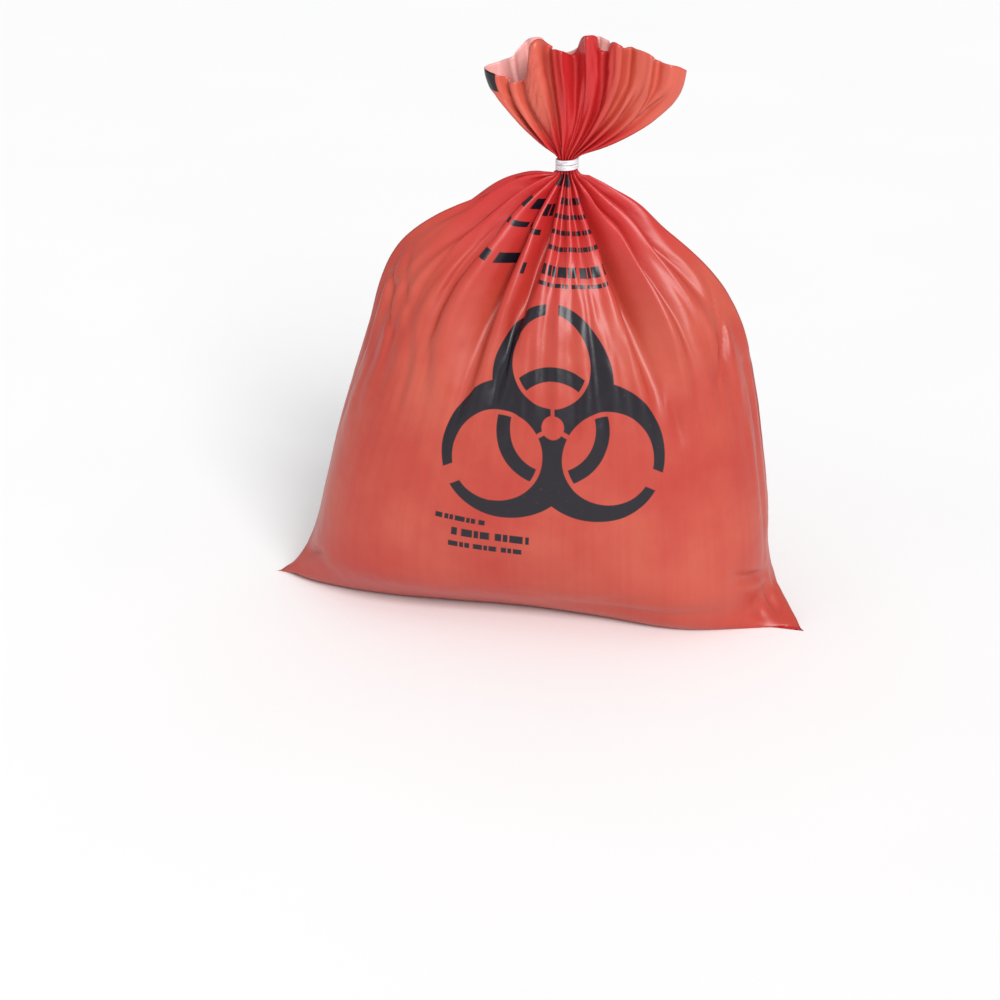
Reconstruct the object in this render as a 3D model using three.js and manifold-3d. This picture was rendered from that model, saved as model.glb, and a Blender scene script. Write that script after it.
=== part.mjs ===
// Biohazard waste bag: a red polyethylene film bag, filled, standing on a level floor, gathered at its neck
// and closed with a white twist tie. Above the tie the mouth of the bag flares open as a rippled fan.
// Units are millimetres, +Z is up, the printed front faces -Y, and the origin is the bottom centre.
import * as THREE from "three";
import { mergeVertices } from "three/addons/utils/BufferGeometryUtils.js";
import Module from "manifold-3d";

// Sizes of the film bag
const seamLength = 485; // bottom heat seal from corner to corner: the flat width of the bag
const seamSlew = 54; // how much further forward the right-hand corner stands than the left-hand one
const seamMiddle = { x: 0, y: -20 }; // the middle of the bottom seal, from the origin
const bodyCentre = 6; // origin to the middle of the filled body, sideways
const bodyHalfWidth = 200; // that middle to the filled body's side, just above the floor
const bodyDepth = 204; // the filled body, front to back, at its fullest
const settling = 3; // how far the weight inside presses the lowest film flat on the floor
const settledHeight = 40; // the film above this isn't pressed down at all
const neckHeight = 389; // floor to the underside of the tie
const neckOffset = { x: 24, y: 0 }; // where the neck stands, from the origin
const neckRadius = 8.6; // the gathered film where the tie holds it
const filmWall = 1.5; // wall of the open mouth, thicker than the real film so that it is a solid

// Sizes of the open mouth above the tie
const mouthHeight = 88; // tie to the top of the rim
const mouthReach = { left: 71, right: 88, front: 25, back: 28 }; // neck to the rim, seen from above
const mouthWellHeight = 14; // top of the tie to the floor of the hollow mouth
const cornerDrop = 0.28; // how much lower the rim's two corners are, as a share of its height
const rippleDepth = 4.5; // how far the rim's ripples stand in and out
const rippleCount = 10; // ripples around the rim

// Sizes of the twist tie
const tieWidth = 4;
const tieThickness = 0.8;
const tieTurns = 2;
const tiePitch = 4.5; // rise from one turn to the next
const tieTailLength = 28; // the two ends, twisted together behind the neck
const tieTailWidth = 3.6;
const tieTailTurns = 2.5;
const tieTailDroop = 6; // how much lower the tail's end hangs than its root
const tieTaper = 0.2; // share of the tail over which the two ends come together
const clearance = 0.35; // between the gathered film and the tie

// Fineness of the surfaces
const pointsAround = 64;
const bodyRings = 28;
const mouthRings = 8;
const tieSectionsPerTurn = 40;
const tieTailSections = 40;

const tieBandHeight = tieWidth + tieTurns * tiePitch;
const tieHeight = tieBandHeight + 2 * clearance;
const neckTop = neckHeight + tieHeight;
const pleatCount = 16;
const neckPleat = 0.03; // share of the neck's radius

const { sin, cos, abs, sign, PI, max, min } = Math;

// A smooth curve through points chosen by hand, read by its share from start to end
function guide(points) {
  const curve = new THREE.CatmullRomCurve3(
    points.map((p) => new THREE.Vector3(...p)),
    false,
    "centripetal",
  );
  return (share) => curve.getPointAt(share);
}

// The guides run from the bottom seal to the neck. Each row holds shares of the sizes above: outward
// of the body's half width or of its bulge, and upward of the neck's height.
const leftRows = [
  [1.13, 0.04],
  [1.065, 0.09],
  [1.02, 0.15],
  [0.965, 0.275],
  [0.905, 0.4],
  [0.83, 0.525],
  [0.755, 0.635],
  [0.695, 0.745],
  [0.62, 0.82],
  [0.5, 0.875],
  [0.34, 0.925],
  [0.2, 0.972],
];
const rightRows = [
  [1.03, 0.07],
  [0.995, 0.16],
  [0.985, 0.26],
  [0.945, 0.42],
  [0.895, 0.56],
  [0.83, 0.675],
  [0.745, 0.76],
  [0.63, 0.825],
  [0.5, 0.88],
  [0.4, 0.935],
  [0.26, 0.972],
];
const frontRows = [
  [0.4, 0.002],
  [0.67, 0.037],
  [0.88, 0.09],
  [0.97, 0.17],
  [1.0, 0.28],
  [0.97, 0.42],
  [0.87, 0.56],
  [0.7, 0.7],
  [0.48, 0.82],
  [0.27, 0.915],
];
const backRows = [
  [0.42, 0.002],
  [0.7, 0.03],
  [0.9, 0.1],
  [0.98, 0.19],
  [1.0, 0.3],
  [0.97, 0.43],
  [0.87, 0.57],
  [0.7, 0.7],
  [0.48, 0.82],
  [0.27, 0.915],
];

const tipX = Math.sqrt(seamLength ** 2 - seamSlew ** 2) / 2;
const neckAt = (dx, dy) => [neckOffset.x + dx, neckOffset.y + dy, neckHeight];
const sidePoints = (rows, out) => [
  [seamMiddle.x + out * tipX, seamMiddle.y - (out * seamSlew) / 2, 0],
  ...rows.map(([x, z]) => [bodyCentre + out * x * bodyHalfWidth, 0, z * neckHeight]),
  neckAt(out * neckRadius, 0),
];
const middlePoints = (rows, out, bulge) => [
  [seamMiddle.x, seamMiddle.y, 0],
  ...rows.map(([y, z]) => [bodyCentre + (neckOffset.x - bodyCentre) * z, out * y * bulge, z * neckHeight]),
  neckAt(0, out * neckRadius),
];
const leftGuide = guide(sidePoints(leftRows, -1));
const rightGuide = guide(sidePoints(rightRows, 1));
const frontGuide = guide(middlePoints(frontRows, -1, bodyDepth / 2));
const backGuide = guide(middlePoints(backRows, 1, bodyDepth / 2));

// Folds that run down from the neck over the front and back: where they start, how deep and how wide
// they are as shares of the ring, and how far down they reach as a share of the way to the seal
const folds = [
  { at: 1.25, depth: 0.16, width: 0.13, reach: 0.5 },
  { at: 1.95, depth: 0.14, width: 0.12, reach: 0.46 },
  { at: 0.55, depth: 0.1, width: 0.14, reach: 0.34 },
  { at: 2.65, depth: 0.09, width: 0.14, reach: 0.34 },
  { at: 4.2, depth: 0.14, width: 0.16, reach: 0.46 },
  { at: 5.2, depth: 0.14, width: 0.15, reach: 0.42 },
];

// How much the folds and pleats draw the film in at an angle, as a share of the ring's size
function pleatShare(share, angle) {
  const gathered = THREE.MathUtils.smoothstep(share, 0.72, 0.93) * (1 - THREE.MathUtils.smoothstep(share, 0.95, 1));
  let drawn = 0.05 * gathered * (1 + cos(pleatCount * angle));
  for (const fold of folds) {
    const near = abs(((angle - fold.at + 3 * PI) % (2 * PI)) - PI) / fold.width;
    const along = THREE.MathUtils.smoothstep(share, 1 - fold.reach, 0.9) * (1 - THREE.MathUtils.smoothstep(share, 0.92, 1));
    drawn += fold.depth * along * Math.exp(-near * near);
  }
  return drawn;
}

// A point of the filled body. The share runs from 0 at the bottom seal to 1 at the neck, and the angle
// from 0 at the right-hand side through the front to the left-hand side and on round the back.
function bodyPoint(share, angle) {
  const left = leftGuide(share);
  const right = rightGuide(share);
  const middle = (sin(angle) >= 0 ? frontGuide : backGuide)(share);
  const side = cos(angle) >= 0 ? right : left;
  const centre = left.clone().add(right).multiplyScalar(0.5);
  const squareness = THREE.MathUtils.lerp(3, 2, THREE.MathUtils.smoothstep(share, 0.05, 0.6));
  const sideways = abs(cos(angle)) ** (2 / squareness);
  const outward = share === 0 ? 0 : abs(sin(angle)) ** (2 / squareness);
  const out = side
    .sub(centre)
    .multiplyScalar(sideways)
    .add(middle.sub(centre).multiplyScalar(outward));
  const kept = 1 - pleatShare(share, angle);
  const point = new THREE.Vector3(out.x * kept, out.y * kept, out.z).add(centre);
  const pressed = settling * max(0, 1 - point.z / settledHeight) ** 2;
  point.z = max(0, point.z - pressed);
  return point;
}

// A point of the gathered neck inside the tie
function neckPoint(height, angle) {
  const radius = neckRadius * (1 - neckPleat * (1 + cos(pleatCount * angle)));
  return new THREE.Vector3(
    neckOffset.x + radius * cos(angle),
    neckOffset.y - radius * sin(angle),
    height,
  );
}

// A point of the mouth above the tie, at a share of the way from the tie to the rim, on its outer side
function mouthPoint(share, angle) {
  const reach = cos(angle) >= 0 ? mouthReach.right : mouthReach.left;
  const depth = sin(angle) >= 0 ? mouthReach.front : mouthReach.back;
  const spread = 1 - (1 - share) ** (1.9 + 0.4 * cos(angle));
  const ripple = rippleDepth * share ** 1.3 * sin(rippleCount * angle + 0.6 * sin(2 * angle));
  const squash = 1 - cornerDrop * abs(cos(angle)) ** 3;
  const x = neckRadius * cos(angle) * (1 - spread) + reach * spread * cos(angle);
  const y = neckRadius * sin(angle) * (1 - spread) + depth * spread * sin(angle);
  const rim = mouthHeight * (squash + 0.03 * sin(3 * angle + 1) + 0.03 * cos(5 * angle));
  const normal = new THREE.Vector2(depth * cos(angle), reach * sin(angle)).normalize();
  return new THREE.Vector3(
    neckOffset.x + x + ripple * normal.x,
    neckOffset.y - y - ripple * normal.y,
    neckTop + rim * share,
  );
}

// The same ring moved inward by the film's wall
function insetRing(ring, wall) {
  return ring.map((p, i) => {
    const before = ring.at(i - 1);
    const after = ring[(i + 1) % ring.length];
    const normal = new THREE.Vector2(after.y - before.y, before.x - after.x).normalize();
    return new THREE.Vector3(p.x - wall * normal.x * -1, p.y - wall * normal.y * -1, p.z);
  });
}

// A closed surface over a stack of rings, each end closed by a point in the ring's middle.
// A first ring that is zipped has its front and back halves on one line, and needs no end point.
function loft(rings, zipped = false) {
  const around = rings[0].length;
  const positions = rings.flatMap((ring) => ring.flatMap((p) => [p.x, p.y, p.z]));
  const faces = [];
  const at = (ring, i) => {
    const wrapped = ((i % around) + around) % around;
    const mirrored = zipped && ring === 0 && wrapped > around / 2;
    return ring * around + (mirrored ? around - wrapped : wrapped);
  };
  const addFace = (a, b, c) => {
    if (a !== b && b !== c && a !== c) faces.push(a, b, c);
  };
  for (let ring = 0; ring + 1 < rings.length; ring++) {
    for (let i = 0; i < around; i++) {
      addFace(at(ring, i), at(ring + 1, i), at(ring, i + 1));
      addFace(at(ring, i + 1), at(ring + 1, i), at(ring + 1, i + 1));
    }
  }
  const close = (ring, turned) => {
    const middle = rings[ring].reduce((sum, p) => sum.add(p), new THREE.Vector3()).divideScalar(around);
    positions.push(middle.x, middle.y, middle.z);
    const centre = positions.length / 3 - 1;
    for (let i = 0; i < around; i++) {
      if (turned) addFace(centre, at(ring, i), at(ring, i + 1));
      else addFace(centre, at(ring, i + 1), at(ring, i));
    }
  };
  if (!zipped) close(0, true);
  close(rings.length - 1, false);
  const geometry = new THREE.BufferGeometry();
  geometry.setAttribute("position", new THREE.Float32BufferAttribute(positions, 3));
  geometry.setIndex(faces);
  return geometry;
}

const angles = Array.from({ length: pointsAround }, (_, i) => (2 * PI * i) / pointsAround);
const ringOf = (place) => angles.map(place);

// The film bag: body, neck and mouth in one piece
function bagGeometry() {
  const rings = [];
  for (let i = 0; i < bodyRings; i++) {
    const share = (i / bodyRings) ** 1.05;
    rings.push(ringOf((angle) => bodyPoint(share, angle)));
  }
  rings.push(ringOf((angle) => neckPoint(neckHeight, angle)));
  rings.push(ringOf((angle) => neckPoint(neckTop, angle)));
  const outer = [];
  for (let i = 1; i <= mouthRings; i++) {
    outer.push(ringOf((angle) => mouthPoint((i / mouthRings) ** 1.4, angle)));
  }
  const well = neckTop + mouthWellHeight;
  const inner = outer
    .filter((ring) => min(...ring.map((p) => p.z)) > well)
    .map((ring) => insetRing(ring, filmWall))
    .reverse();
  return loft([...rings, ...outer, ...inner], true);
}

// The twist tie: a flat ribbon wound round the neck, its two ends twisted together at the back
const tieInnerRadius = neckRadius + clearance;
const tieMiddle = { ...neckOffset, z: neckHeight + clearance + tieWidth / 2 };

function ribbonGeometry() {
  const sections = tieSectionsPerTurn * tieTurns;
  const rings = [];
  for (let i = 0; i <= sections; i++) {
    const turned = (i / sections) * tieTurns;
    const angle = PI / 2 + 2 * PI * turned;
    const rise = tiePitch * turned;
    rings.push(
      [
        [0, -1],
        [1, -1],
        [1, 1],
        [0, 1],
      ].map(([out, up]) => {
        const radius = tieInnerRadius + out * tieThickness;
        return new THREE.Vector3(
          tieMiddle.x + radius * cos(angle),
          tieMiddle.y + radius * sin(angle),
          tieMiddle.z + rise + (up * tieWidth) / 2,
        );
      }),
    );
  }
  return loft(rings);
}

function tailGeometry() {
  const sections = tieTailSections;
  const rings = [];
  const rootZ = tieMiddle.z + (tieTurns * tiePitch) / 2;
  for (let i = 0; i <= sections; i++) {
    const share = i / sections;
    const turn = 2 * PI * tieTailTurns * max(0, share - tieTaper) + PI / 2;
    const narrowing = THREE.MathUtils.smoothstep(share, 0, tieTaper);
    const width = THREE.MathUtils.lerp(tieBandHeight, tieTailWidth, narrowing);
    const out = tieInnerRadius + 0.25 * tieThickness + tieTailLength * share;
    rings.push(
      [
        [-1, -1],
        [1, -1],
        [1, 1],
        [-1, 1],
      ].map(([a, b]) => {
        const wide = (a * width) / 2;
        const thick = b * tieThickness;
        return new THREE.Vector3(
          tieMiddle.x + wide * cos(turn) - thick * sin(turn),
          tieMiddle.y + out,
          rootZ - tieTailDroop * share * share + wide * sin(turn) + thick * cos(turn),
        );
      }),
    );
  }
  return loft(rings);
}

// Turns a geometry into a solid, and a solid back into a geometry
const wasm = await Module();
wasm.setup();

function solidOf(geometry) {
  const merged = mergeVertices(geometry, 1e-4);
  const solid = new wasm.Manifold(
    new wasm.Mesh({
      numProp: 3,
      vertProperties: merged.attributes.position.array,
      triVerts: new Uint32Array(merged.index.array),
    }),
  );
  return solid;
}

function geometryOf(solid) {
  const mesh = solid.getMesh();
  const geometry = new THREE.BufferGeometry();
  geometry.setAttribute("position", new THREE.BufferAttribute(mesh.vertProperties, 3));
  geometry.setIndex(new THREE.BufferAttribute(mesh.triVerts, 1));
  return geometry;
}

const filmMaterial = new THREE.MeshStandardMaterial({ color: 0xcf3a30, roughness: 0.35, metalness: 0 });
const tieMaterial = new THREE.MeshStandardMaterial({ color: 0xf2f0ea, roughness: 0.6, metalness: 0 });

const bag = new THREE.Mesh(bagGeometry(), filmMaterial);
bag.name = "film_bag";
const tie = new THREE.Mesh(geometryOf(solidOf(ribbonGeometry()).add(solidOf(tailGeometry()))), tieMaterial);
tie.name = "twist_tie";

const part = new THREE.Group();
part.add(bag, tie);
export default part;
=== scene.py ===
"""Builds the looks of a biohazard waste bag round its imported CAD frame.

It makes the film bag and the studio that the bag stands in, and finishes the twist tie.
"""

import math

import bmesh
import bpy
import numpy as np
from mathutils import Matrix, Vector


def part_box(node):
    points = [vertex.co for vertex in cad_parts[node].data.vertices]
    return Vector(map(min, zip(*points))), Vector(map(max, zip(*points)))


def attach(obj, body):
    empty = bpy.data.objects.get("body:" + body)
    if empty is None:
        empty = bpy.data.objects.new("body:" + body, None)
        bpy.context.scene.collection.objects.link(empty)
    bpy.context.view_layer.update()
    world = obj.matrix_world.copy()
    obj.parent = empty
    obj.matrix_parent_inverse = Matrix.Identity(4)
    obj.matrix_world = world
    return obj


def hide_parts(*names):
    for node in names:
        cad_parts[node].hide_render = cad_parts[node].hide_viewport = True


bl_info = {
    "name": "Biohazard Waste Bag",
    "version": (1, 0, 0),
    "blender": (4, 5, 0),
    "location": "View3D > Sidebar > Waste Bag",
    "description": "Models a filled, tied film bag and the studio it stands in",
    "category": "Add Mesh",
}

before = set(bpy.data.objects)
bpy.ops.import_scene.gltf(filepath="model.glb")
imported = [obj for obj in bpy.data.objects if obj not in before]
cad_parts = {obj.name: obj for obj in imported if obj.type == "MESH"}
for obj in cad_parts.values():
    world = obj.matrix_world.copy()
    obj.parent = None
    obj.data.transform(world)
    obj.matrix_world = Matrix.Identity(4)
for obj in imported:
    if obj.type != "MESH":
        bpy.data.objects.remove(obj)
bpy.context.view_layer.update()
BAG_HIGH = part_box("film_bag")[1]
TIE_LOW, TIE_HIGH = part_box("twist_tie")

# The film laid flat, and the shares of its length at which the tie starts and ends
FLAT_WIDTH = 0.485
FLAT_LENGTH = 0.584
BODY_SHARE = 0.785
TIE_SHARE = 0.805
PATTERN_MAP = "flat_pattern"

# The middle of the gathered neck where the tie starts, and the height at which it ends
NECK = Vector(((TIE_LOW.x + TIE_HIGH.x) / 2, 0.0, TIE_LOW.z))
NECK_TOP = TIE_HIGH.z

# The middle of the bottom seal, and how much further forward its right-hand corner stands
SEAL_MIDDLE = Vector((0.0, -0.02, 0.0))
SEAL_SLEW = 0.054

# The filled body's middle from left to right, and half its width and depth
BODY_CENTRE = 0.006
BODY_HALF_WIDTH = 0.2
BODY_HALF_DEPTH = BAG_HIGH.y
CURVE_STEPS = 16


class SmoothPath:
    """A smooth curve through given points, read by the share of its length."""

    def __init__(self, points):
        knots = np.array([tuple(p) for p in points], float)
        ends = np.vstack([2 * knots[0] - knots[1], knots, 2 * knots[-1] - knots[-2]])
        steps = np.linspace(0, 1, CURVE_STEPS, endpoint=False)[:, None]
        pieces = []
        for a, b, c, d in zip(ends, ends[1:], ends[2:], ends[3:]):
            pieces.append(0.5 * (2 * b + (c - a) * steps + (2 * a - 5 * b + 4 * c - d) * steps**2
                                 + (3 * b - a - 3 * c + d) * steps**3))
        self.line = np.vstack(pieces + [knots[-1:]])
        run = np.linalg.norm(np.diff(self.line, axis=0), axis=1)
        self.shares = np.concatenate([[0], np.cumsum(run)]) / run.sum()

    def at(self, share):
        """The curve's points at shares of its length."""
        return np.stack([np.interp(share, self.shares, self.line[:, k]) for k in range(3)], -1)


def smoothstep(value, low, high):
    """0 under low, 1 over high, and smooth between."""
    share = np.clip((value - low) / (high - low), 0, 1)
    return share * share * (3 - 2 * share)


# The body's profiles from the bottom seal to the neck: (share of its half width or half depth, share of the
# neck's height)
LEFT_ROWS = [(1.13, 0.04), (1.065, 0.09), (1.02, 0.15), (0.965, 0.275), (0.905, 0.4), (0.83, 0.525),
             (0.755, 0.635), (0.695, 0.745), (0.62, 0.82), (0.5, 0.875), (0.34, 0.925), (0.21, 0.972),
             (0.1, 0.992)]
RIGHT_ROWS = [(1.03, 0.07), (0.995, 0.16), (0.985, 0.26), (0.945, 0.42), (0.895, 0.56), (0.83, 0.675),
              (0.745, 0.76), (0.63, 0.825), (0.5, 0.88), (0.4, 0.935), (0.27, 0.972), (0.19, 0.991)]
FRONT_ROWS = [(0.4, 0.002), (0.67, 0.037), (0.88, 0.09), (0.97, 0.17), (1.0, 0.28), (0.97, 0.42),
              (0.87, 0.56), (0.7, 0.7), (0.48, 0.82), (0.27, 0.915)]
BACK_ROWS = [(0.42, 0.002), (0.7, 0.03), (0.9, 0.1), (0.98, 0.19), (1.0, 0.3), (0.97, 0.43),
             (0.87, 0.57), (0.7, 0.7), (0.48, 0.82), (0.27, 0.915)]


def side_path(rows, out, neck_radius):
    """The body's left (out -1) or right (out 1) edge, from the seal's corner to the neck."""
    tip = ((FLAT_WIDTH / 2) ** 2 - (SEAL_SLEW / 2) ** 2) ** 0.5
    points = [(SEAL_MIDDLE.x + out * tip, SEAL_MIDDLE.y - out * SEAL_SLEW / 2, 0)]
    points += [(BODY_CENTRE + out * x * BODY_HALF_WIDTH, 0, z * NECK.z) for x, z in rows]
    return SmoothPath(points + [(NECK.x + out * neck_radius, NECK.y, NECK.z)])


def middle_path(rows, out, neck_radius):
    """The line up the body's front (out -1) or back (out 1), from the seal's middle to the neck."""
    points = [tuple(SEAL_MIDDLE)]
    points += [(BODY_CENTRE + (NECK.x - BODY_CENTRE) * z, out * y * BODY_HALF_DEPTH, z * NECK.z)
               for y, z in rows]
    return SmoothPath(points + [(NECK.x, NECK.y + out * neck_radius, NECK.z)])


# Materials are built from wires and graphs

class Wire:
    """An output socket of a material, on which Python's arithmetic adds Math nodes."""

    def __init__(self, graph, socket):
        self.graph = graph
        self.socket = socket

    def __add__(self, other):
        return self.graph.math("ADD", self, other)

    def __sub__(self, other):
        return self.graph.math("SUBTRACT", self, other)

    def __rsub__(self, other):
        return self.graph.math("SUBTRACT", other, self)

    def __mul__(self, other):
        return self.graph.math("MULTIPLY", self, other)

    def __truediv__(self, other):
        return self.graph.math("DIVIDE", self, other)

    def __abs__(self):
        return self.graph.math("ABSOLUTE", self)

    __radd__ = __add__
    __rmul__ = __mul__


class Graph:
    """A material's node tree."""

    def __init__(self, name):
        self.material = bpy.data.materials.new(name)
        self.material.use_nodes = True
        self.tree = self.material.node_tree
        self.tree.nodes.clear()

    def node(self, kind, settings=None, sockets=None):
        """Adds a node, applies its settings, then fills or links its sockets, and returns it."""
        node = self.tree.nodes.new(kind)
        for name, value in (settings or {}).items():
            setattr(node, name, value)
        for key, value in (sockets or {}).items():
            if isinstance(value, Wire):
                self.tree.links.new(value.socket, node.inputs[key])
            else:
                node.inputs[key].default_value = value
        return node

    def wire(self, kind, settings=None, sockets=None, output=0):
        """Adds a node and returns one of its outputs."""
        return Wire(self, self.node(kind, settings, sockets).outputs[output])

    def place(self):
        """Each point's place on its own object."""
        return self.wire("ShaderNodeTexCoord", output="Object")

    def math(self, operation, *values):
        return self.wire("ShaderNodeMath", {"operation": operation}, dict(enumerate(values)))

    def smooth(self, value, low, high):
        """0 where the value is under low, 1 where it is over high, and smooth between."""
        sockets = {"Value": value, "From Min": low, "From Max": high}
        return self.wire("ShaderNodeMapRange", {"interpolation_type": "SMOOTHSTEP"}, sockets)

    def mix(self, factor, first, second):
        """A mix of two colours. Socket numbers are used, because its sockets' names repeat."""
        sockets = {0: factor, 6: first, 7: second}
        return self.wire("ShaderNodeMix", {"data_type": "RGBA"}, sockets, 2)

    def noise(self, vector, scale, detail, roughness=0.5, distortion=0.0):
        sockets = {"Vector": vector, "Scale": scale, "Detail": detail, "Roughness": roughness,
                   "Distortion": distortion}
        return self.wire("ShaderNodeTexNoise", {}, sockets)

    def scaled(self, vector, scale):
        return self.wire("ShaderNodeMapping", {}, {"Vector": vector, "Scale": scale})

    def bump(self, height, strength, distance, normal=None):
        sockets = {"Height": height, "Strength": strength, "Distance": distance}
        if normal is not None:
            sockets["Normal"] = normal
        return self.wire("ShaderNodeBump", {}, sockets)

    def finish(self, sockets):
        """Fills the surface's sockets and returns the material."""
        surface = self.wire("ShaderNodeBsdfPrincipled", {}, sockets)
        self.node("ShaderNodeOutputMaterial", {}, {"Surface": surface})
        return self.material


def linear(red, green, blue):
    """A screen colour, each part from 0 to 255, as the light that Blender works with."""
    parts = [c / 255 for c in (red, green, blue)]
    return [c / 12.92 if c <= 0.04045 else ((c + 0.055) / 1.055) ** 2.4 for c in parts] + [1.0]


# The film's print and finish

SEAL_HEIGHT = 0.0055
SEAL_EDGE = 0.0008
SEAL_RIBS = 3000  # the crossed ribs that the sealing bar leaves, as turns of a wave for each metre

# The printed figure is drawn in units of these lengths, across and up. Its middle is measured on the flat
# front, from the middle of the bottom seal.
SYMBOL_UNIT = (0.00419, 0.00394)
SYMBOL_AT = (0.012, 0.245)
SYMBOL_TURN = math.radians(2.7)
SYMBOL_EDGE = 0.12
HORN_OUTSIDE = (11, 15.2)  # the middle and the radius of the circle outside a horn
HORN_INSIDE = (14, 10)  # the same for the circle inside it
HORN_SLOT_HALF = 0.5  # half the gap down the middle of a horn
HORN_TIPS_HALF = 2.0  # half the gap between its tips
HORN_TIPS_FROM = 15
SYMBOL_HOLE = 2.6
RING_INSIDE = 9.8
RING_OUTSIDE = 12.9
RING_SHOWS = (14, 9)  # the ring shows inside this circle of each horn

INK_EDGE = 0.0003
DASH_HALF = 0.38  # half of a dash, as a share of the distance from dash to dash
DASH_WAVE = (0.3, 2.3)  # how uneven the dashes are, and how fast that changes

# Printed rows: (left end, right end, height on the flat front, thickness, distance from dash to dash). With a
# distance of 0 the row is one bar.
PRINTED_ROWS = [(-0.07, 0.055, 0.4525, 0.011, 0.017), (-0.01, 0.095, 0.4345, 0.006, 0.014),
                (-0.015, 0.095, 0.421, 0.004, 0.009), (-0.015, 0.1, 0.4075, 0.004, 0.009),
                (-0.015, 0.105, 0.394, 0.004, 0.007), (-0.125, -0.035, 0.424, 0.011, 0.015),
                (-0.12, -0.04, 0.404, 0.005, 0.011), (-0.018, 0.118, 0.375, 0.009, 0.012),
                (-0.12, -0.05, 0.372, 0.01, 0.015), (-0.02, 0.09, 0.3635, 0.0035, 0.008),
                (-0.0834, -0.04, 0.154, 0.0045, 0.0065), (-0.068, -0.002, 0.142, 0.007, 0.0085),
                (-0.07, -0.008, 0.13, 0.005, 0.007), (-0.285, -0.212, 0.572, 0.026, 0)]


def trefoil_ink(graph, across, up):
    """1 inside the printed three-horned figure, 0 outside."""
    level_x = (across - SYMBOL_AT[0]) / SYMBOL_UNIT[0]
    level_y = (up - SYMBOL_AT[1]) / SYMBOL_UNIT[1]
    x = level_x * math.cos(SYMBOL_TURN) + level_y * math.sin(SYMBOL_TURN)
    y = level_y * math.cos(SYMBOL_TURN) - level_x * math.sin(SYMBOL_TURN)
    radius = graph.math("SQRT", x * x + y * y)
    third = 2 * math.pi / 3
    angle = graph.math("ARCTAN2", x, y)
    folded = graph.math("FLOORED_MODULO", angle + third / 2, third) - third / 2
    side = abs(radius * graph.math("SINE", folded))
    out = radius * graph.math("COSINE", folded)

    def reach(centre):
        ahead = out - centre
        return graph.math("SQRT", side * side + ahead * ahead)

    def both(first, *others):
        for other in others:
            first = graph.math("MAXIMUM", first, other)
        return first

    at_tips = graph.math("GREATER_THAN", out, HORN_TIPS_FROM)
    slot_half = HORN_SLOT_HALF + (HORN_TIPS_HALF - HORN_SLOT_HALF) * at_tips
    horns = both(reach(HORN_OUTSIDE[0]) - HORN_OUTSIDE[1], HORN_INSIDE[1] - reach(HORN_INSIDE[0]),
                 SYMBOL_HOLE - radius, slot_half - side)
    ring = both(radius - RING_OUTSIDE, RING_INSIDE - radius, reach(RING_SHOWS[0]) - RING_SHOWS[1])
    return 1 - graph.smooth(graph.math("MINIMUM", horns, ring), -SYMBOL_EDGE, SYMBOL_EDGE)


def bar_ink(graph, across, up, left, right, middle, height, step):
    """1 inside a printed bar or row of dashes, 0 outside."""
    out = graph.math("MAXIMUM", left - across, across - right)
    out = graph.math("MAXIMUM", out, abs(up - middle) - height / 2)
    if step:
        uneven = across / step + DASH_WAVE[0] * graph.math("SINE", across * (DASH_WAVE[1] / step))
        out = graph.math("MAXIMUM", out, (abs(graph.math("FRACT", uneven) - 0.5) - DASH_HALF) * step)
    return 1 - graph.smooth(out, -INK_EDGE, INK_EDGE)


def printed_ink(graph, flat, across, up):
    """How much ink lies on the film's outside, thinned in a mottle of painted glints."""
    ink = trefoil_ink(graph, across, up)
    for row in PRINTED_ROWS:
        ink = graph.math("MAXIMUM", ink, bar_ink(graph, across, up, *row))
    # Painted glints: the ink is thinner in patches, so the film shows lighter there
    glint_mottle = graph.smooth(graph.noise(flat, 260.0, 3.0, 0.6), 0.2, 0.38)
    return ink * (0.84 + 0.16 * glint_mottle)


def film_red(graph, flat, across, up, cloudy, sealed, film_and_sheen_colour):
    """The film's colour, partly its own and partly a painted sheen: cloudy on the body, bright where it
    gathers, and deep along the bottom, where the darkening is painted shade.
    """
    gathered = graph.smooth(up, 0.3, 0.44)
    # Painted sheen: the pale salmon colour of the filled body stands in for soft light reflected off the film
    red = graph.mix(graph.smooth(cloudy, 0.3, 0.72), linear(172, 55, 43), film_and_sheen_colour)
    flare = graph.smooth(up, 0.485, 0.53) * graph.smooth(abs(across), 0.05, 0.12)
    red = graph.mix(gathered * (1 - 0.7 * flare), red, linear(186, 36, 38))
    red = graph.mix(0.6 * flare, red, linear(208, 102, 82))
    # Painted shade: the film is darker towards the bottom seal
    red = graph.mix(0.4 - 0.4 * graph.smooth(up, 0.04, 0.15), red, linear(172, 46, 38))
    red = graph.mix(sealed, red, linear(196, 26, 32))
    streaks = graph.noise(graph.scaled(flat, (140.0, 2.2, 1.0)), 1.0, 3.0, 0.6)
    return graph.mix(0.2 * graph.smooth(streaks, 0.35, 0.8), red, linear(168, 34, 34))


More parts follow.
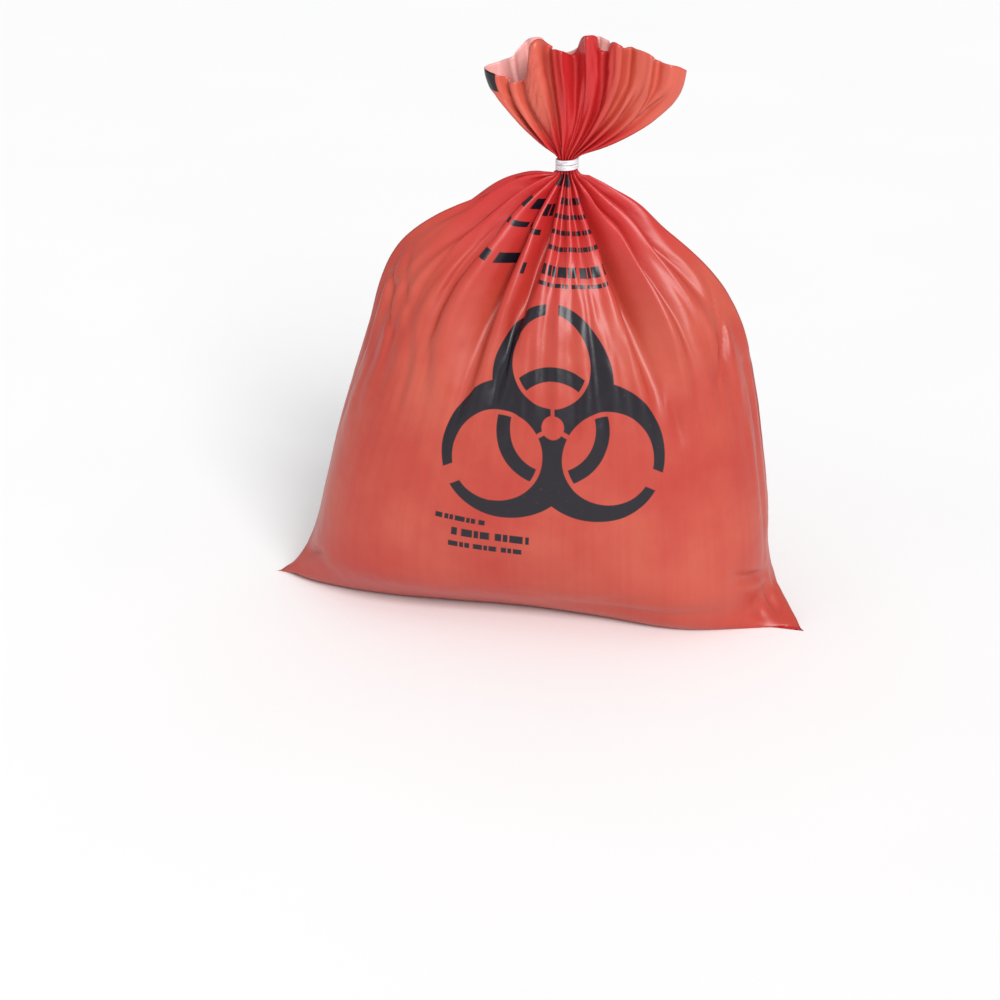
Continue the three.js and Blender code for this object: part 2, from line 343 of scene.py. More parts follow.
def film_material(name, colours, inside=False):
    """The red film, printed outside, with a pale painted highlight inside its mouth."""
    graph = Graph(name)
    flat = graph.wire("ShaderNodeUVMap", {"uv_map": PATTERN_MAP})
    parts = graph.node("ShaderNodeSeparateXYZ", {}, {"Vector": flat})
    across = FLAT_WIDTH / 2 - Wire(graph, parts.outputs["X"])
    up = Wire(graph, parts.outputs["Y"])
    place = graph.place()
    cloudy = graph.noise(place, 9.0, 4.0, 0.55)
    sealed = 1 - graph.smooth(up, SEAL_HEIGHT, SEAL_HEIGHT + SEAL_EDGE)
    red = film_red(graph, flat, across, up, cloudy, sealed, colours.film_and_sheen_colour)
    roughness = 0.34 + 0.12 * cloudy
    if inside:
        # Painted highlight: the film inside the mouth is painted pale
        red = graph.mix(0.8 * graph.smooth(up, 0.42, 0.47), red, colours.inside_highlight_colour)
    else:
        ink = printed_ink(graph, flat, across, up)
        red = graph.mix(ink, red, colours.ink_colour)
        roughness = roughness - 0.05 * ink
    crinkle = graph.noise(graph.scaled(flat, (1.0, 0.6, 1.0)), 95.0, 3.0, 0.55, 0.6)
    normal = graph.bump(crinkle, 0.22, 0.0014)
    fine = graph.noise(place, 420.0, 2.0)
    normal = graph.bump(fine, 0.08, 0.0003, normal)
    ribs = (graph.math("SINE", (across + up) * SEAL_RIBS)
            + graph.math("SINE", (across - up) * SEAL_RIBS))
    normal = graph.bump(sealed * (1 + 0.2 * ribs), 0.6, 0.0005, normal)
    return graph.finish({"Base Color": red, "Roughness": roughness, "Normal": normal, "IOR": 1.43,
                         "Coat Weight": 0.08, "Coat Roughness": 0.25})


def tie_material(paper_colour):
    """Creased paper on the tie's wire, greyer in its creases as painted shade."""
    graph = Graph("paper_ribbon")
    place = graph.place()
    pulp = graph.noise(place, 900.0, 4.0, 0.6)
    creases = graph.noise(graph.scaled(place, (1.0, 1.0, 6.0)), 160.0, 2.0)
    # Painted shade: the paper is greyer in its creases
    white = graph.mix(graph.smooth(creases, 0.35, 0.75), paper_colour, linear(176, 172, 182))
    normal = graph.bump(pulp + creases, 0.35, 0.0002)
    return graph.finish({"Base Color": white, "Roughness": 0.5 + 0.2 * pulp, "Normal": normal})


def floor_material():
    graph = Graph("studio_floor")
    tone = graph.noise(graph.place(), 3.0, 2.0)
    colour = graph.mix(tone, linear(248, 248, 248), linear(244, 244, 245))
    return graph.finish({"Base Color": colour, "Roughness": 0.8})


# The film bag's shape

NECK_PLEATS = 20
GOLDEN_ANGLE = 2.399
PLEAT_DEPTH = 0.4  # how far a valley is drawn in, as a share of the gathered film's radius
DEEPEST_FOLD = 0.6
RING_STEPS = 180

# The share of the body's height over which the film opens above its seal, and how far it is open at once
SEAL_OPENS = 0.05
OPEN_AT_SEAL = 0.15

# Low on the front the film is flatter: (how far right of the middle, half width, how far it stands back)
LOW_FRONT = [(-0.01, 0.1, 0.013), (0.14, 0.05, -0.009)]
LOW_FRONT_HEIGHT = 0.11

# Under this height the film settles on the floor, by this much at most
RESTS_UNDER = 0.04
RESTS_BY = 0.003

# The mouth's reach to the left and to the right of the neck, half its depth, how far it leans back, the least
# gap between its front and its back, and how fast it spreads, swells and turns to face front
MOUTH_LEFT = 0.0665
MOUTH_RIGHT = 0.0915
MOUTH_HALF_DEPTH = 0.015
MOUTH_LEAN = 0.01
MOUTH_GAP = 0.0015
MOUTH_SPREAD = (2.05, 0.3)
MOUTH_SWELL = 0.005
MOUTH_FACING = (0.03, 0.08)


def wander(values, count):
    """A value that wanders round the tube: a sum of waves, each with its own phase."""
    total = np.zeros_like(values)
    for k in range(1, count + 1):
        total = total + np.sin(k * values + GOLDEN_ANGLE * k * k) / k
    return total / 2


def pleat_wave(angle, waves):
    """Uneven pleats round the tube, each value from 0 in a valley to 1 on a ridge."""
    return 0.5 + 0.5 * np.sin(waves * angle + 0.09 * waves * wander(angle, 5))


def round_table(table, around):
    """Reads a list of (share round the tube, value), smoothly and without a step where the tube closes."""
    shares = np.array([row[0] for row in table])
    values = np.array([row[1] for row in table])
    fine = np.arange(RING_STEPS * 2) / (RING_STEPS * 2)
    line = np.interp(fine, np.concatenate([shares - 1, shares, shares + 1]), np.tile(values, 3))
    for _ in range(3):
        line = (np.roll(line, 1) + 2 * line + np.roll(line, -1)) / 4
    return np.interp(around % 1, np.append(fine, 1), np.append(line, line[0]))


# Folds that run down from the neck: (share round the tube at the neck, how far it drifts on the way down,
# depth, width, share of the body's height where it ends). A ridge's depth is less than 0.
FOLDS = [(0.335, 0.0, 0.42, 0.014, 0.52), (0.362, 0.004, -0.12, 0.011, 0.52),
         (0.306, 0.004, -0.12, 0.009, 0.6), (0.272, 0.028, 0.32, 0.011, 0.57),
         (0.395, 0.0, 0.08, 0.014, 0.66), (0.44, 0.004, 0.1, 0.014, 0.7),
         (0.13, 0.0, 0.42, 0.013, 0.54), (0.103, -0.004, -0.16, 0.009, 0.54),
         (0.083, 0.0, 0.07, 0.01, 0.62),
         (0.165, 0.0, 0.07, 0.012, 0.76), (0.056, 0.0, -0.05, 0.01, 0.6), (0.036, 0.0, 0.09, 0.012, 0.62),
         (0.56, 0.0, 0.1, 0.014, 0.62), (0.6, 0.0, -0.05, 0.012, 0.6), (0.64, 0.01, 0.18, 0.018, 0.5),
         (0.675, 0.01, -0.05, 0.01, 0.6), (0.72, 0.0, 0.12, 0.014, 0.62), (0.79, -0.01, 0.17, 0.018, 0.48),
         (0.825, -0.01, -0.06, 0.01, 0.6), (0.87, -0.01, 0.12, 0.014, 0.6), (0.94, 0.0, 0.1, 0.014, 0.64)]

# Creases in the flat film: (share round and share along at one end, the same at the other, depth, width)
CREASES = [(0.012, 0.43, 0.024, 0.16, 0.003, 0.005), (0.032, 0.36, 0.034, 0.24, -0.0015, 0.004),
           (0.07, 0.172, 0.022, 0.13, 0.008, 0.005), (0.06, 0.15, 0.024, 0.125, -0.003, 0.004),
           (0.03, 0.12, 0.012, 0.03, 0.006, 0.004), (0.05, 0.115, 0.028, 0.03, 0.004, 0.004),
           (0.018, 0.12, 0.006, 0.03, -0.002, 0.003), (0.455, 0.105, 0.495, 0.07, 0.007, 0.006),
           (0.487, 0.5, 0.484, 0.13, 0.003, 0.005), (0.46, 0.45, 0.465, 0.3, -0.001, 0.005),
           (0.485, 0.53, 0.44, 0.47, 0.004, 0.006), (0.475, 0.56, 0.425, 0.51, 0.003, 0.005),
           (0.405, 0.66, 0.385, 0.52, 0.004, 0.006), (0.43, 0.62, 0.42, 0.5, 0.003, 0.005),
           (0.02, 0.52, 0.06, 0.45, 0.004, 0.006), (0.015, 0.56, 0.04, 0.5, 0.003, 0.005),
           (0.23, 0.12, 0.1, 0.123, 0.004, 0.012), (0.2, 0.14, 0.15, 0.16, 0.002, 0.006),
           (0.3, 0.5, 0.298, 0.44, 0.003, 0.006), (0.335, 0.45, 0.34, 0.39, 0.003, 0.006),
           (0.118, 0.45, 0.112, 0.39, 0.003, 0.006)]
BACK_SHIFT = 0.013  # the back's creases mirror the front's, this much further round

# The rim: (share round the tube, height over the tie)
RIM_HEIGHTS = [(0.0, 0.073), (0.02, 0.078), (0.062, 0.082), (0.09, 0.09), (0.11, 0.0925), (0.145, 0.0925),
               (0.175, 0.101), (0.197, 0.084), (0.217, 0.1045), (0.249, 0.1045), (0.268, 0.083),
               (0.3, 0.0916),
               (0.339, 0.0903), (0.362, 0.104), (0.372, 0.1), (0.379, 0.064), (0.43, 0.061), (0.47, 0.067),
               (0.5, 0.07), (0.53, 0.0715), (0.573, 0.08), (0.6075, 0.09), (0.634, 0.0935), (0.661, 0.078),
               (0.7, 0.079), (0.729, 0.085), (0.76, 0.093), (0.79, 0.0928), (0.825, 0.0887), (0.86, 0.08),
               (0.895, 0.08), (0.94, 0.0695), (0.98, 0.071)]

# The mouth's folds: (share round the tube, depth, width)
MOUTH_FOLDS = [(0.06, 0.008, 0.012), (0.085, -0.003, 0.01), (0.13, 0.01, 0.016), (0.16, -0.004, 0.01),
               (0.197, 0.01, 0.012), (0.235, -0.004, 0.012), (0.268, 0.011, 0.014), (0.3, -0.003, 0.01),
               (0.339, 0.011, 0.014), (0.37, -0.004, 0.01), (0.402, 0.006, 0.01), (0.445, 0.008, 0.012),
               (0.56, 0.009, 0.014), (0.6, -0.004, 0.012), (0.661, 0.014, 0.018), (0.7, -0.004, 0.01),
               (0.732, 0.008, 0.012), (0.775, -0.005, 0.012), (0.82, 0.011, 0.014), (0.88, 0.013, 0.016),
               (0.94, 0.009, 0.012)]


def fold_dip(around, at, width):
    """1 in the middle of a fold, falling to 0 on both sides."""
    near = np.abs(np.mod(around - at + 0.5, 1) - 0.5) / width
    return np.exp(-(near**1.5))


def creased(places):
    """Presses the listed creases into the film, along the film's own normals."""
    across = np.roll(places, -1, 1) - np.roll(places, 1, 1)
    up = np.gradient(places, axis=0)
    inward = np.cross(across, up)
    inward /= np.maximum(np.linalg.norm(inward, axis=-1), 1e-12)[..., None]
    around = np.arange(places.shape[1]) / places.shape[1] * 2 * FLAT_WIDTH
    along = np.linspace(0, FLAT_LENGTH, places.shape[0])
    flat = np.stack(np.broadcast_arrays(around[None, :], along[:, None]), -1)
    depth = np.zeros(places.shape[:2])
    for a, low, b, high, deep, width in CREASES:
        for ends in ((a, b), (1 + BACK_SHIFT - a, 1 + BACK_SHIFT - b)):
            first = np.array([ends[0] % 1 * 2 * FLAT_WIDTH, low * FLAT_LENGTH])
            line = np.array([(ends[1] - ends[0]) * 2 * FLAT_WIDTH, (high - low) * FLAT_LENGTH])
            share = np.clip((flat - first) @ line / (line @ line), 0, 1)
            far = np.linalg.norm(flat - first - share[..., None] * line, axis=-1) / width
            depth += deep * (0.45 + 0.55 * np.sin(math.pi * share)) * np.exp(-(far**1.4))
    off_seal = smoothstep(along, 0.02 * FLAT_LENGTH, 0.13 * FLAT_LENGTH)[:, None]
    return places + inward * (depth * off_seal)[..., None]


def body_ring(paths, share, turn):
    """The body without folds: points at shares of its height and at angles round its middle."""
    left, right, front, back = (path.at(share) for path in paths)
    middle = np.where(np.sin(turn)[..., None] >= 0, front, back)
    side = np.where(np.cos(turn)[..., None] >= 0, right, left)
    centre = (left + right) / 2
    squareness = 3 - smoothstep(share, 0.05, 0.6)
    sideways = np.abs(np.cos(turn)) ** (2 / squareness)
    off_seal = smoothstep(share, 0, SEAL_OPENS)
    opened = np.where(share > 0, OPEN_AT_SEAL + (1 - OPEN_AT_SEAL) * off_seal, 0)
    outward = opened * np.abs(np.sin(turn)) ** (2 / squareness)
    places = centre + (side - centre) * sideways[..., None] + (middle - centre) * outward[..., None]
    low = (1 - smoothstep(places[..., 2], 0, LOW_FRONT_HEIGHT)) * (np.sin(turn) > 0) * off_seal
    flatter = sum(back * np.exp(-(((places[..., 0] - at) / width) ** 2)) for at, width, back in LOW_FRONT)
    places[..., 1] += low * flatter
    return places


def mouth_ring(share, turn, neck_radius):
    """The mouth without folds: a fan that leans back a little."""
    reach = np.where(np.cos(turn) >= 0, MOUTH_RIGHT, MOUTH_LEFT)
    spread = 1 - (1 - share) ** (MOUTH_SPREAD[0] + MOUTH_SPREAD[1] * np.cos(turn))
    across = np.cos(turn) * (neck_radius * (1 - spread) + reach * spread)
    ahead = np.sin(turn) * (neck_radius * (1 - spread) + MOUTH_HALF_DEPTH * spread)
    return np.stack([NECK.x + across, NECK.y - ahead + MOUTH_LEAN * share, NECK_TOP + 0 * share], -1)


def even_turns(ring, share, around):
    """The angles at which points stand evenly along each ring, counted apart over its front and its back."""
    steps = np.linspace(0, math.pi, RING_STEPS + 1)
    front = around[around <= 0.5] * 2
    back = around[around > 0.5] * 2 - 1
    halves = []
    for shares, turns in ((front, steps), (back, math.pi + steps)):
        places = ring(share[:, None], np.broadcast_to(turns, (len(share), len(turns))))
        runs = np.linalg.norm(np.diff(places, axis=1), axis=2).cumsum(1)
        runs = np.hstack([np.zeros((len(share), 1)), runs / runs[:, -1:]])
        halves.append(np.array([np.interp(shares, run, turns) for run in runs]))
    return np.hstack(halves)


def body_points(share, around, neck_radius):
    """The filled body with its pleats and folds, resting on the floor."""
    paths = (side_path(LEFT_ROWS, -1, neck_radius), side_path(RIGHT_ROWS, 1, neck_radius),
             middle_path(FRONT_ROWS, -1, neck_radius), middle_path(BACK_ROWS, 1, neck_radius))

    def ring(height, turn):
        return body_ring(paths, np.broadcast_to(height, turn.shape), turn)

    turn = even_turns(ring, share, around)
    grid = np.broadcast_to(share[:, None], turn.shape)
    places = ring(grid, turn)
    centre = (paths[0].at(grid) + paths[1].at(grid)) / 2
    angle = 2 * math.pi * around[None, :]
    gathered = smoothstep(grid, 0.72, 0.99)
    drawn = PLEAT_DEPTH * gathered**2 * (1 - pleat_wave(angle, NECK_PLEATS))
    for at, drift, depth, width, low in FOLDS:
        down = np.clip((1 - grid) / (1 - low), 0, 1)
        strength = smoothstep(grid, low, low + 0.3) * (1 - 0.6 * smoothstep(grid, 0.93, 1))
        drawn = drawn + depth * strength * fold_dip(around[None, :], at + drift * down, width)
    out = places - centre
    out[..., :2] *= (1 - np.minimum(drawn, DEEPEST_FOLD))[..., None]
    places = centre + out
    height = places[..., 2]
    places[..., 2] = np.maximum(0, height - RESTS_BY * np.maximum(0, 1 - height / RESTS_UNDER) ** 2)
    return places


def mouth_points(share, around, neck_radius):
    """The open mouth with its pleats and folds."""

    def ring(height, turn):
        return mouth_ring(np.broadcast_to(height, turn.shape), turn, neck_radius)

    turn = even_turns(ring, share, around)
    grid = np.broadcast_to(share[:, None], turn.shape)
    places = ring(grid, turn)
    angle = 2 * math.pi * around[None, :]
    radius = np.hypot(places[..., 0] - NECK.x, places[..., 1] - NECK.y)
    pleats = PLEAT_DEPTH * (1 - smoothstep(grid, 0, 0.8)) * (1 - pleat_wave(angle, NECK_PLEATS))
    inward = np.minimum(pleats * radius, radius)
    normal = np.stack([np.cos(turn) * MOUTH_FACING[0], -np.sin(turn) * MOUTH_FACING[1]], -1)
    normal /= np.linalg.norm(normal, axis=-1)[..., None]
    for at, depth, width in MOUTH_FOLDS:
        inward = inward + depth * smoothstep(grid, 0, 0.9) * fold_dip(around[None, :], at, width)
    inward = inward - MOUTH_SWELL * grid
    places[..., :2] -= normal * inward[..., None]
    places[..., 2] += round_table(RIM_HEIGHTS, around)[None, :] * grid
    return places


def neck_points(share, around, neck_radius):
    """The gathered neck inside the tie."""

    def ring(height, turn):
        return np.stack([np.cos(turn), np.sin(turn), 0 * turn], -1)

    angle = 2 * math.pi * around[None, :]
    turn = even_turns(ring, share, around)
    radius = neck_radius * (1 - PLEAT_DEPTH * (1 - pleat_wave(angle, NECK_PLEATS)))
    height = NECK.z + (NECK_TOP - NECK.z) * np.broadcast_to(share[:, None], turn.shape)
    return np.stack([NECK.x + radius * np.cos(turn), NECK.y - radius * np.sin(turn), height], -1)


def film_points(columns, rows, neck_radius):
    """Places the film's points as rows from the seal to the rim, each row going once round the tube."""
    around = np.arange(columns) / columns
    along = np.arange(rows + 1) / rows
    body = along < BODY_SHARE
    mouth = along > TIE_SHARE
    neck = ~body & ~mouth
    return np.vstack([
        body_points(along[body] / BODY_SHARE, around, neck_radius),
        neck_points((along[neck] - BODY_SHARE) / (TIE_SHARE - BODY_SHARE), around, neck_radius),
        mouth_points((along[mouth] - TIE_SHARE) / (1 - TIE_SHARE), around, neck_radius)])


# The film's settling

THREAD_PULL = 0.9
SHEAR_PULL = 0.15
HOLD_EVERY = 4
SHAPE_HOLD = 0.5
LEAST_SLACK = 1.03  # how much longer than it stands a thread may be along the tube, and round the fine film
FLOOR_GAP = 0.0003

# How near the tie and the seal, as shares of its length, and how near the floor, in metres, the film is held
TIE_HOLD = 0.018
SEAL_HOLD = 0.012
FLOOR_HOLD = 0.006
FLOOR_HOLD_UP_TO = 0.4


def blurred(values, passes):
    """Averages neighbours round the tube and along it."""
    for _ in range(passes):
        values = (np.roll(values, 1, 1) + values + np.roll(values, -1, 1)) / 3
        ends = np.concatenate([values[:1], values, values[-1:]])
        values = (ends[:-2] + ends[1:-1] + ends[2:]) / 3
    return values


def draw_together(first, second, lengths, strength):
    """How far two rows of points move so that they stand nearer to their own distance."""
    gap = second - first
    far = np.maximum(np.linalg.norm(gap, axis=-1), 1e-6)
    return gap * (0.5 * strength * (far - lengths) / far)[..., None]


def settle_film(places, lengths, free, rounds, stiffness, passes):
    """Lets the film buckle into creases: its threads take their own lengths while its shape is held."""
    start = places.copy()
    around_lengths, along_lengths = lengths
    shear = np.hypot(around_lengths[:-1], along_lengths)
    for turn in range(rounds):
        for offset in (0, 1):
            rolled = np.roll(places, -offset, 1)
            near = np.roll(around_lengths, -offset, 1)[:, ::2]
            move = draw_together(rolled[:, ::2], rolled[:, 1::2], near, THREAD_PULL)
            rolled[:, ::2] += move
            rolled[:, 1::2] -= move
            places = np.roll(rolled, offset, 1)
        for offset in (0, 1):
            low, high = places[offset:-1:2], places[offset + 1::2]
            move = draw_together(low, high, along_lengths[offset::2], THREAD_PULL)
            low += move
            high -= move
        for side in (1, -1):
            slanted = np.roll(places[1:], -side, 1)
            move = draw_together(places[:-1], slanted, shear, SHEAR_PULL)
            places[:-1] += move
            places[1:] -= np.roll(move, side, 1)
        moved = places - start
        ends = np.concatenate([moved[:1], moved, moved[-1:]])
        smooth = (np.roll(moved, 1, 1) + np.roll(moved, -1, 1) + ends[:-2] + ends[2:]) / 4
        places = start + (moved + stiffness * (smooth - moved)) * free[..., None]
        if turn % HOLD_EVERY == HOLD_EVERY - 1:
            places -= (SHAPE_HOLD * free[..., None]) * blurred(places - start, passes)
        places[..., 2] = np.maximum(0.0001, places[..., 2])
    return places


def parted(places):
    """Keeps the mouth's front from passing through its back."""
    around = np.arange(places.shape[1]) / places.shape[1]
    share = (np.linspace(0, 1, places.shape[0]) - TIE_SHARE) / (1 - TIE_SHARE)
    share = np.clip(share, 0, 1)[:, None]
    middle = NECK.y + MOUTH_LEAN * share
    apart = MOUTH_GAP * np.sin(2 * math.pi * around)[None, :] * np.minimum(1, 4 * share)
    ahead = np.minimum(places[..., 1], middle - apart)
    behind = np.maximum(places[..., 1], middle - apart)
    held = np.where(around[None, :] < 0.5, ahead, behind)
    places[..., 1] = np.where(share > 0.02, held, places[..., 1])


def own_lengths(places, around_length, along_length, most):
    """The lengths that the threads want: the flat film's own, within a factor of those they stand at."""
    now_around = np.linalg.norm(np.roll(places, -1, 1) - places, axis=-1)
    now_along = np.linalg.norm(places[1:] - places[:-1], axis=-1)
    smooth_around = blurred(now_around[..., None], 6)[..., 0]
    around = np.clip(around_length, smooth_around, smooth_around * most)
    along = np.maximum(now_along, np.minimum(along_length, now_along * LEAST_SLACK))
    return around, along


def twice_as_fine(places):
    """Puts a new point between each two, round the tube and along it, on a smooth curve."""
    columns = places.shape[1]
    halves = (9 * (places + np.roll(places, -1, 1)) - np.roll(places, 1, 1) - np.roll(places, -2, 1)) / 16
    wide = np.empty((places.shape[0], 2 * columns, 3))
    wide[:, ::2], wide[:, 1::2] = places, halves
    ends = np.concatenate([2 * wide[:1] - wide[1:2], wide, 2 * wide[-1:] - wide[-2:-1]])
    halves = (9 * (ends[1:-2] + ends[2:-1]) - ends[:-3] - ends[3:]) / 16
    fine = np.empty((2 * places.shape[0] - 1, 2 * columns, 3))
    fine[::2], fine[1::2] = wide, halves
    return fine


def settled_points(sizes):
    """The film's points after it has settled, in two steps of fineness."""
    chance = np.random.default_rng(11)
    places = film_points(sizes.columns, sizes.rows, sizes.neck_radius)
    # How far the points are shaken, the threads' greatest stretch, rounds, stiffness, passes of blur
    coarse = (0.0004, 1 + sizes.slack, sizes.settling_rounds, 0.35, 3)
    fine = (0.0001, LEAST_SLACK, sizes.settling_rounds // 5, 0.1, 2)
    for level, (shake, most, rounds, stiffness, passes) in enumerate((coarse, fine)):
        if level > 0:
            places = creased(twice_as_fine(places))
        along = np.linspace(0, 1, places.shape[0])[:, None]
        tied = np.exp(-((along - (BODY_SHARE + TIE_SHARE) / 2) / TIE_HOLD) ** 4)
        sealed = np.exp(-along / SEAL_HOLD)
        resting = np.exp(-places[..., 2] / FLOOR_HOLD) * (along < FLOOR_HOLD_UP_TO)
        free = (1 - tied) * (1 - sealed) * (1 - resting)
        step = (2 * FLAT_WIDTH / places.shape[1], FLAT_LENGTH / (places.shape[0] - 1))
        shaken = blurred(chance.normal(0, 1, places.shape), 1)
        places = places + shaken * (shake * free)[..., None]
        lengths = own_lengths(places, *step, most)
        places = settle_film(places, lengths, free, rounds, stiffness, passes)
    parted(places)
    places[..., 2] = np.maximum(FLOOR_GAP, places[..., 2])
    return places


def film_tube(places):
    """The film as one sheet bent into a tube, sealed along the bottom and open at the rim."""
    rows, columns = places.shape[0] - 1, places.shape[1]
    sheet = bmesh.new()
    pattern = sheet.loops.layers.uv.new(PATTERN_MAP)
    bmesh.ops.create_grid(sheet, x_segments=columns, y_segments=rows, size=0.5)
    for face in sheet.faces:
        for loop in face.loops:
            flat = loop.vert.co
            loop[pattern].uv = ((flat.x + 0.5) * 2 * FLAT_WIDTH, (flat.y + 0.5) * FLAT_LENGTH)
    for vert in sheet.verts:
        column = round((vert.co.x + 0.5) * columns) % columns
        vert.co = places[round((vert.co.y + 0.5) * rows), column]
    bmesh.ops.remove_doubles(sheet, verts=sheet.verts, dist=1e-6)
    bmesh.ops.recalc_face_normals(sheet, faces=sheet.faces)
    return sheet


def object_from(bm, name, materials):
    """A smooth-shaded object at the origin, made from a bmesh."""
    mesh = bpy.data.meshes.new(name)
    bm.to_mesh(mesh)
    bm.free()
    piece = bpy.data.objects.new(name, mesh)
    bpy.context.scene.collection.objects.link(piece)
    for material in materials:
        mesh.materials.append(material)
    mesh.shade_smooth()
    return piece


def apply_modifiers(piece):
    """Keeps what the piece's modifiers make as its own mesh."""
    bpy.context.view_layer.update()
    evaluated = piece.evaluated_get(bpy.context.evaluated_depsgraph_get())
    mesh = bpy.data.meshes.new_from_object(evaluated)
    piece.modifiers.clear()
    piece.data = mesh


# Settings that a user would change

class BagSettings(bpy.types.PropertyGroup):
    """Sizes and colours of the film bag"""

    columns: bpy.props.IntProperty(
        name="Columns", description="Faces round the film tube before it is made finer", default=140)
    rows: bpy.props.IntProperty(
        name="Rows", description="Faces from the seal to the rim before it is made finer", default=86)
    settling_rounds: bpy.props.IntProperty(
        name="Settling Rounds", description="Rounds in which the film settles into creases", default=150)
    slack: bpy.props.FloatProperty(
        name="Slack", description="How much longer the film may be than the shape it lies on", default=0.16)
    neck_radius: bpy.props.FloatProperty(
        name="Neck Radius", description="Radius of the gathered film inside the tie", default=0.0083,
        unit="LENGTH", precision=4)
    film_thickness: bpy.props.FloatProperty(
        name="Film Thickness", description="Thickness given to the film", default=0.0002,
        unit="LENGTH", precision=5)
    # Partly the filled film's own colour, partly a painted sheen of soft light reflected off the film
    film_and_sheen_colour: bpy.props.FloatVectorProperty(
        name="Film Colour", description="Colour of the film where it is filled", default=linear(184, 82, 64),
        size=4, subtype="COLOR", min=0, max=1)
    # A painted highlight: the pale colour painted on the film inside its mouth
    inside_highlight_colour: bpy.props.FloatVectorProperty(
        name="Inside Colour", description="Colour of the film inside its mouth",
        default=linear(232, 176, 172), size=4, subtype="COLOR", min=0, max=1)
    ink_colour: bpy.props.FloatVectorProperty(
        name="Ink Colour", description="Colour of the print", default=linear(20, 16, 26),
        size=4, subtype="COLOR", min=0, max=1)


class TieSettings(bpy.types.PropertyGroup):
    """Colour of the twist tie"""

    paper_colour: bpy.props.FloatVectorProperty(
        name="Paper Colour", description="Colour of the paper on the wire", default=linear(226, 223, 225),
        size=4, subtype="COLOR", min=0, max=1)


class StudioSettings(bpy.types.PropertyGroup):
    """The camera and the lights"""

    turn: bpy.props.FloatProperty(
        name="Turn", description="Camera's turn to the right of the front", default=math.radians(8),
        subtype="ANGLE")
    rise: bpy.props.FloatProperty(
        name="Rise", description="Camera's height above the floor's plane", default=math.radians(25),
        subtype="ANGLE")
    distance: bpy.props.FloatProperty(
        name="Distance", description="Camera to the middle of the bottom seal", default=2.39, unit="LENGTH")
    brightness: bpy.props.FloatProperty(
        name="Brightness", description="Strength of the key light", default=2.7)
    fill: bpy.props.FloatProperty(name="Fill", description="Power of the fill light", default=1.8)
    air: bpy.props.FloatProperty(
        name="Air", description="Strength of the white light from all round", default=0.56)


class WASTEBAG_OT_film_bag(bpy.types.Operator):
    """Model the film bag: body, gathered neck and open mouth in one tube"""

    bl_idname = "wastebag.film_bag"
    bl_label = "Film Bag"

    def execute(self, context):
        sizes = context.scene.waste_bag
        places = settled_points(sizes)
        materials = [film_material("red_film", sizes), film_material("red_film_inside", sizes, True)]
        bag = object_from(film_tube(places), "waste_bag_film", materials)
        wall = bag.modifiers.new("film wall", "SOLIDIFY")
        wall.thickness = sizes.film_thickness
        wall.offset = -1
        wall.material_offset = 1
        apply_modifiers(bag)
        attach(bag, "root")
        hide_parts("film_bag")
        return {"FINISHED"}


class WASTEBAG_OT_twist_tie(bpy.types.Operator):
    """Finish the twist tie"""

    bl_idname = "wastebag.twist_tie"
    bl_label = "Twist Tie"

    def execute(self, context):
        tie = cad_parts["twist_tie"]
        tie.data.materials.clear()
        tie.data.materials.append(tie_material(context.scene.waste_bag_tie.paper_colour))
        return {"FINISHED"}


class WASTEBAG_OT_studio(bpy.types.Operator):
    """Set up the floor, the lights and the camera"""

    bl_idname = "wastebag.studio"
    bl_label = "Studio"

    def execute(self, context):
        studio = context.scene.waste_bag_studio
        add_floor()
        add_sun(studio.brightness)
        add_fill(studio.fill)
        add_camera(context.scene, studio)
        world = bpy.data.worlds.new("studio_air")
        world.use_nodes = True
        world.node_tree.nodes["Background"].inputs["Color"].default_value = (1, 1, 1, 1)
        world.node_tree.nodes["Background"].inputs["Strength"].default_value = studio.air
        context.scene.world = world
        context.scene.view_settings.view_transform = "Standard"
        return {"FINISHED"}


# The studio: the key light is a wide sun, and the fill light a disc on the left

FLOOR_HALF_WIDTH = 40.0
KEY_WIDTH = math.radians(28)
KEY_RAYS = Vector((-0.42, 0.86, -0.72))
FILL_PLACE = Vector((-1.4, -1.4, 0.9))
FILL_AIM = Vector((0, 0, 0.22))
FILL_WIDTH = 1.2


def add_lamp(name, lamp, rays):
    """Adds a lamp that shines along the rays."""
    light = bpy.data.objects.new(name, lamp)
    light.rotation_euler = rays.to_track_quat("-Z", "Y").to_euler()
    bpy.context.scene.collection.objects.link(light)
    return light


def add_floor():
    bm = bmesh.new()
    bmesh.ops.create_grid(bm, x_segments=2, y_segments=2, size=FLOOR_HALF_WIDTH)
    floor = object_from(bm, "studio_floor", [floor_material()])


def add_sun(strength):
    lamp = bpy.data.lights.new("key", "SUN")
    lamp.angle = KEY_WIDTH
    lamp.energy = strength
    add_lamp("key", lamp, KEY_RAYS)


def add_fill(power):
    lamp = bpy.data.lights.new("fill", "AREA")
    lamp.shape = "DISK"
    lamp.size = FILL_WIDTH
    lamp.energy = power
    light = add_lamp("fill", lamp, FILL_AIM - FILL_PLACE)
    light.location = FILL_PLACE


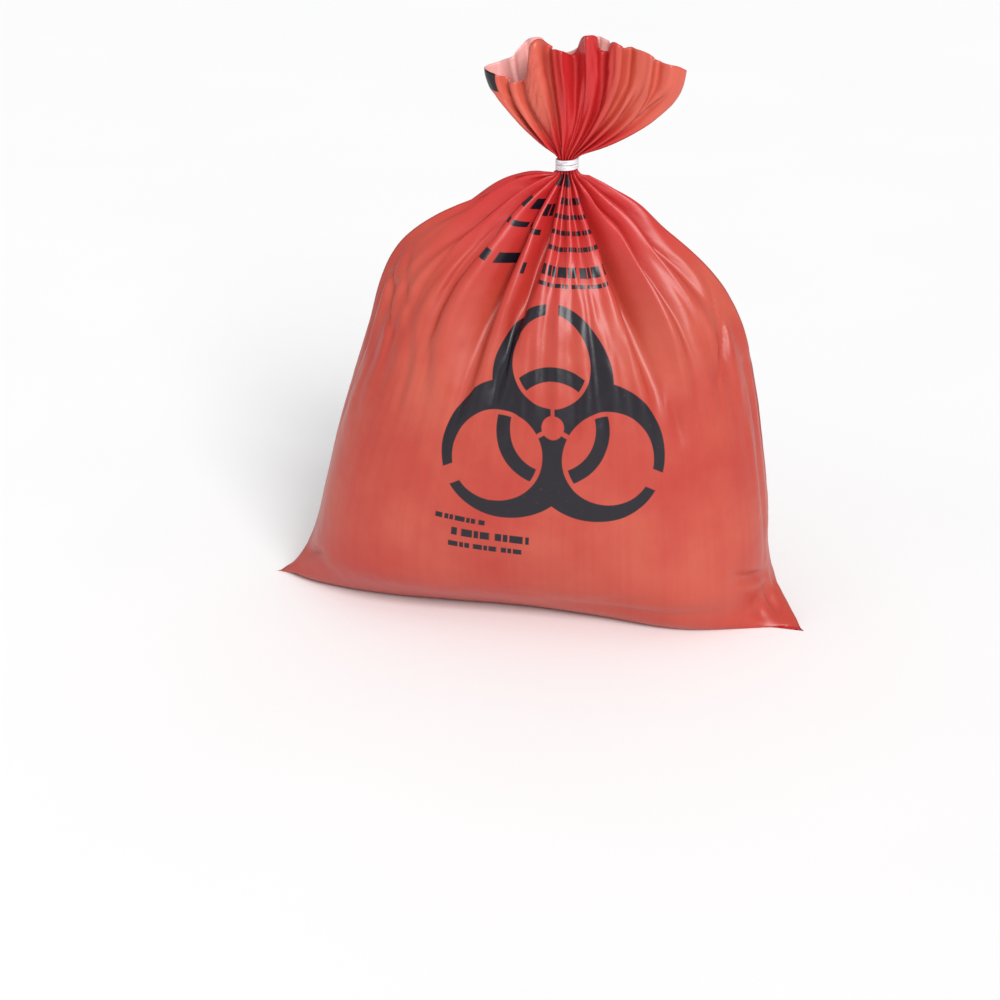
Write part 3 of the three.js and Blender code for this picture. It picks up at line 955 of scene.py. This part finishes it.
# Where the middle of the bottom seal shows in the photograph, and the lens, in the picture's pixels
IMAGE_SIDE = 1000
SEAL_PIXEL = (539, 601)
LENS_PIXELS = 2690
CAMERA_AIM = Vector((0.005, -0.022, 0.0))


def add_camera(scene, studio):
    data = bpy.data.cameras.new("camera")
    data.lens = data.sensor_width * LENS_PIXELS / IMAGE_SIDE
    camera = bpy.data.objects.new("camera", data)
    scene.collection.objects.link(camera)
    level = math.cos(studio.rise)
    away = Vector((math.sin(studio.turn) * level, -math.cos(studio.turn) * level, math.sin(studio.rise)))
    camera.location = CAMERA_AIM + studio.distance * away
    right = Vector((math.cos(studio.turn), math.sin(studio.turn), 0))
    above = away.cross(right)
    dx = (SEAL_PIXEL[0] - IMAGE_SIDE / 2) / LENS_PIXELS
    dy = (SEAL_PIXEL[1] - IMAGE_SIDE / 2) / LENS_PIXELS
    aim = -away - right * dx + above * dy
    camera.rotation_euler = aim.to_track_quat("-Z", "Y").to_euler()
    scene.camera = camera


class WASTEBAG_PT_panel(bpy.types.Panel):
    """Lists the pieces of the waste bag"""

    bl_label = "Waste Bag"
    bl_idname = "WASTEBAG_PT_panel"
    bl_space_type = "VIEW_3D"
    bl_region_type = "UI"
    bl_category = "Waste Bag"

    def draw(self, context):
        for operator in OPERATORS:
            self.layout.operator(operator.bl_idname)


OPERATORS = (WASTEBAG_OT_film_bag, WASTEBAG_OT_twist_tie, WASTEBAG_OT_studio)
CLASSES = (BagSettings, TieSettings, StudioSettings, *OPERATORS, WASTEBAG_PT_panel)


def register():
    for cls in CLASSES:
        bpy.utils.register_class(cls)
    bpy.types.Scene.waste_bag = bpy.props.PointerProperty(type=BagSettings)
    bpy.types.Scene.waste_bag_tie = bpy.props.PointerProperty(type=TieSettings)
    bpy.types.Scene.waste_bag_studio = bpy.props.PointerProperty(type=StudioSettings)


def unregister():
    del bpy.types.Scene.waste_bag
    del bpy.types.Scene.waste_bag_tie
    del bpy.types.Scene.waste_bag_studio
    for cls in reversed(CLASSES):
        bpy.utils.unregister_class(cls)


def main():
    register()
    bpy.ops.wastebag.film_bag()
    bpy.ops.wastebag.twist_tie()
    bpy.ops.wastebag.studio()


if __name__ == "__main__":
    main()
